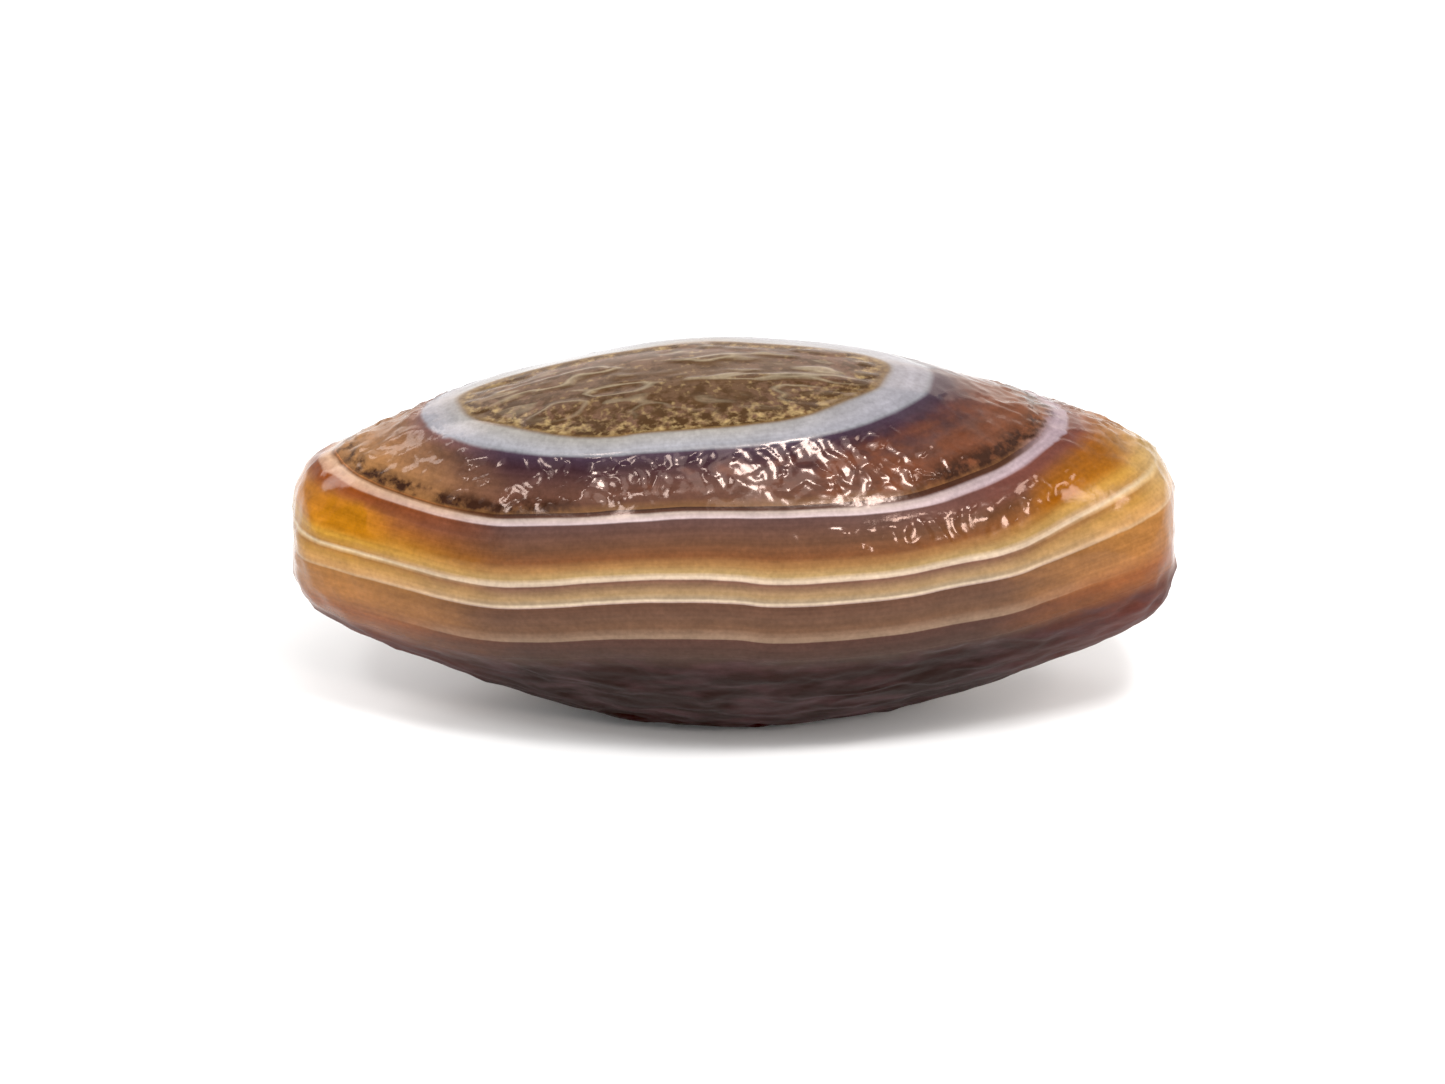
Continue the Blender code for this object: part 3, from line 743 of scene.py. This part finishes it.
# Growth lines along the layers, soft clouds and a fine grain vary the tone by about a tenth
LINES_PER_MM = 9.0
LINE_GRAIN_PER_MM = (0.06, 0.06, 0.0)
GRAINS_PER_MM = 7.0
line_grain = add(tree, "ShaderNodeVectorMath", {0: mm, 1: LINE_GRAIN_PER_MM},
                 operation="MULTIPLY").outputs[0]
line_place = add(tree, "ShaderNodeCombineXYZ", {2: layer}).outputs[0]
line_stack = add(tree, "ShaderNodeVectorMath",
                 {0: line_place, 1: (0.0, 0.0, LINES_PER_MM), 2: line_grain},
                 operation="MULTIPLY_ADD").outputs[0]
lines = add(tree, "ShaderNodeTexNoise",
            {"Vector": line_stack, "Scale": 1.0, "Detail": 3.0}).outputs[0]
soft_cloud = add(tree, "ShaderNodeTexNoise",
                 {"Vector": cloud_grain, "Scale": 2.4, "Detail": 3.0}).outputs[0]
grain = add(tree, "ShaderNodeTexNoise",
            {"Vector": mm, "Scale": GRAINS_PER_MM, "Detail": 2.0}).outputs[0]
tones = []
for pattern, change in ((lines, 0.10), (soft_cloud, 0.12), (grain, 0.10)):
    tones.append(add(tree, "ShaderNodeMapRange",
                     {0: pattern, 1: 0.3, 2: 0.7, 3: 1 - change, 4: 1 + change}).outputs[0])
tone_pair = add(tree, "ShaderNodeMath", {0: tones[0], 1: tones[1]}, operation="MULTIPLY").outputs[0]
tone = add(tree, "ShaderNodeMath", {0: tone_pair, 1: tones[2]}, operation="MULTIPLY").outputs[0]
coloured = add(tree, "ShaderNodeVectorMath", {0: marked, "Scale": tone},
               operation="SCALE").outputs[0]

# Quartz bends light by 1.54, but the waxy skin gives back less of it than glass, a little pinkly
tree.links.new(coloured, shader.inputs["Base Color"])
shader.inputs["Specular IOR Level"].default_value = 0.3
shader.inputs["IOR"].default_value = 1.54
shader.inputs["Specular Tint"].default_value = linear("#ffe4d8")

# The pale layers are more porous than the brown ones, and the eye and the base less polished, so
# these shine less
BROWN_ROUGHNESS, EYE_ROUGHNESS, BASE_ROUGHNESS, PALE_ROUGHNESS = 0.12, 0.32, 0.60, 0.30
paleness = add(tree, "ShaderNodeRGBToBW", {0: coloured}).outputs[0]
dull_eye = add(tree, "ShaderNodeMapRange", {0: layer, 1: EYE_EDGE, 2: EYE_EDGE + 0.1,
                                            3: BROWN_ROUGHNESS, 4: EYE_ROUGHNESS}).outputs[0]
dull_base = add(tree, "ShaderNodeMapRange", {0: layer, 1: BASE_TOP, 2: BASE_TOP - 0.7,
                                             3: dull_eye, 4: BASE_ROUGHNESS}).outputs[0]
roughness = add(tree, "ShaderNodeMapRange", {0: paleness, 1: 0.04, 2: 0.45,
                                             3: dull_base, 4: PALE_ROUGHNESS}).outputs[0]
tree.links.new(roughness, shader.inputs["Roughness"])

# The polish follows fine chips in the chipped layers, fine ripples in the dark base and a faint
# waxy unevenness everywhere
FINE_CHIP_DEPTH = 0.003 * MM
RIPPLES_PER_MM = (0.6, 1.1, 1.6)
RIPPLE_DEPTH = 0.05 * MM
WAX_PER_MM = 2.2
WAX_DEPTH = 0.010 * MM
zone = chipped_zone(tree, mm, along, layer)
small_bowls = chip_bowls(tree, mm, FINE_CHIP_WIDTH, FINE_CHIP_LENGTH)
chip_height = add(tree, "ShaderNodeMath", {0: small_bowls, 1: zone},
                  operation="MULTIPLY").outputs[0]
chip_bump = add(tree, "ShaderNodeBump",
                {"Height": chip_height, "Distance": FINE_CHIP_DEPTH, "Strength": 1.0}).outputs[0]
ripple_grain = add(tree, "ShaderNodeVectorMath", {0: mm, 1: RIPPLES_PER_MM},
                   operation="MULTIPLY").outputs[0]
ripples = add(tree, "ShaderNodeTexNoise",
              {"Vector": ripple_grain, "Scale": 1.0, "Detail": 3.0}).outputs[0]
ripple_height = add(tree, "ShaderNodeMath", {0: ripples, 1: base_zone},
                    operation="MULTIPLY").outputs[0]
ripple_bump = add(tree, "ShaderNodeBump", {"Height": ripple_height, "Distance": RIPPLE_DEPTH,
                                           "Strength": 1.0, "Normal": chip_bump}).outputs[0]
wax = add(tree, "ShaderNodeTexNoise", {"Vector": mm, "Scale": WAX_PER_MM, "Detail": 2.0}).outputs[0]
wax_bump = add(tree, "ShaderNodeBump", {"Height": wax, "Distance": WAX_DEPTH, "Strength": 1.0,
                                        "Normal": ripple_bump}).outputs[0]
tree.links.new(wax_bump, shader.inputs["Normal"])

# The solid's skin is a merged copy of the node's mesh, and goes once the stone has grown round it
scene = bpy.context.scene
worn_skin = bpy.data.objects.new("worn_skin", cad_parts["agate"].data.copy())
scene.collection.objects.link(worn_skin)
merged = bmesh.new()
merged.from_mesh(worn_skin.data)
bmesh.ops.remove_doubles(merged, verts=merged.verts, dist=0.001 * MM)
merged.to_mesh(worn_skin.data)
merged.free()

grower = bpy.data.objects.new("stone_grower", bpy.data.meshes.new("stone_grower"))
scene.collection.objects.link(grower)
grow = grower.modifiers.new("worn_agate_form", "NODES")
grow.node_group = form
values = {**FORM_SIZES, "Worn skin": worn_skin, "Points along": POINTS_ALONG,
          "Points around": POINTS_AROUND, "Surface": agate}
for socket in form.interface.items_tree:
    if socket.in_out == "INPUT":
        grow[socket.identifier] = values[socket.name]
grown = grower.evaluated_get(bpy.context.evaluated_depsgraph_get())
stone = bpy.data.objects.new("agate_stone", bpy.data.meshes.new_from_object(grown))
scene.collection.objects.link(stone)
bpy.data.objects.remove(grower, do_unlink=True)
bpy.data.objects.remove(worn_skin, do_unlink=True)
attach(stone, "root")
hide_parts("agate")

# The stage: a floor of matt white paper in a white room. Small lamps make the glints on the
# stone, large screens of white cloth soften the light, and the camera looks down by 25 degrees.
FLOOR_SIZE = 3.0
bpy.ops.mesh.primitive_plane_add(size=FLOOR_SIZE)
floor = bpy.context.object
floor.name = "floor"
paper = bpy.data.materials.new("white_paper")
paper.use_nodes = True
paper_shader = paper.node_tree.nodes["Principled BSDF"]
paper_shader.inputs["Base Color"].default_value = linear("#ebebeb")
paper_shader.inputs["Roughness"].default_value = 0.9
floor.data.materials.append(paper)

ROOM_LIGHT = 0.8
world = bpy.data.worlds.new("white_room")
world.use_nodes = True
background = world.node_tree.nodes["Background"]
background.inputs["Color"].default_value = (1.0, 1.0, 1.0, 1.0)
background.inputs["Strength"].default_value = ROOM_LIGHT
scene.world = world

# (name, degrees round to the right from the front, degrees up, size in metres, watts, colour)
LIGHTS = (
    ("key_lamp", 22, 57.5, 0.18, 4.8, "#ffffff"),
    ("key_screen", 14, 62, 0.50, 2.2, "#ffffff"),
    ("front_screen", 0, 24, 1.50, 5.3, "#ffffff"),
    ("low_lamp", 31, 28, 0.14, 2.1, "#fff2ea"),
    ("side_lamp", 64, 43, 0.16, 1.2, "#fff2ea"),
    ("left_lamp", -35, 51, 0.17, 1.8, "#ffffff"),
    ("left_back_lamp", -130, 47, 0.30, 1.5, "#ffffff"),
    ("right_screen", 120, 45, 1.20, 1.2, "#ffffff"),
    ("back_screen", 180, 22, 0.80, 2.4, "#ffe9da"),
)
LIGHT_DISTANCE = 1.0
middle = Vector((0.0, 0.0, AXIS_HEIGHT))
for light_name, degrees_round, degrees_up, size, watts, light_colour in LIGHTS:
    round_angle, up_angle = math.radians(degrees_round), math.radians(degrees_up)
    toward = Vector((math.cos(up_angle) * math.sin(round_angle),
                     -math.cos(up_angle) * math.cos(round_angle), math.sin(up_angle)))
    light = bpy.data.objects.new(light_name, bpy.data.lights.new(light_name, "AREA"))
    light.data.size = size
    light.data.energy = watts
    light.data.color = linear(light_colour)[:3]
    light.location = middle + toward * LIGHT_DISTANCE
    light.rotation_euler = (-toward).to_track_quat("-Z", "Y").to_euler()
    scene.collection.objects.link(light)

LENS = 400.0
SENSOR = 36.0
FRAME_WIDTH, FRAME_HEIGHT = 1445, 1084
STONE_CENTRE = (733.5, 531.0)  # pixels from the frame's left and top
PIXELS_PER_METRE = 31.43 / MM
ELEVATION = math.radians(25)
distance = LENS / SENSOR * FRAME_WIDTH / PIXELS_PER_METRE
camera = bpy.data.objects.new("camera", bpy.data.cameras.new("camera"))
camera.data.lens = LENS
camera.data.sensor_width = SENSOR
camera.data.clip_start = 0.01
away = Vector((0.0, -math.cos(ELEVATION), math.sin(ELEVATION)))
up = Vector((0.0, math.sin(ELEVATION), math.cos(ELEVATION)))
shift = Vector(((FRAME_WIDTH / 2 - STONE_CENTRE[0]) / PIXELS_PER_METRE, 0.0, 0.0))
shift += up * ((STONE_CENTRE[1] - FRAME_HEIGHT / 2) / PIXELS_PER_METRE)
camera.location = middle + shift + away * distance
camera.rotation_euler = (-away).to_track_quat("-Z", "Y").to_euler()
scene.collection.objects.link(camera)
scene.camera = camera

# A slight black level deepens the darkest tones
BLACK_LEVEL = 0.02
view = scene.view_settings
view.view_transform = "Standard"
view.use_curve_mapping = True
view.curve_mapping.black_level = (BLACK_LEVEL, BLACK_LEVEL, BLACK_LEVEL)
view.curve_mapping.update()
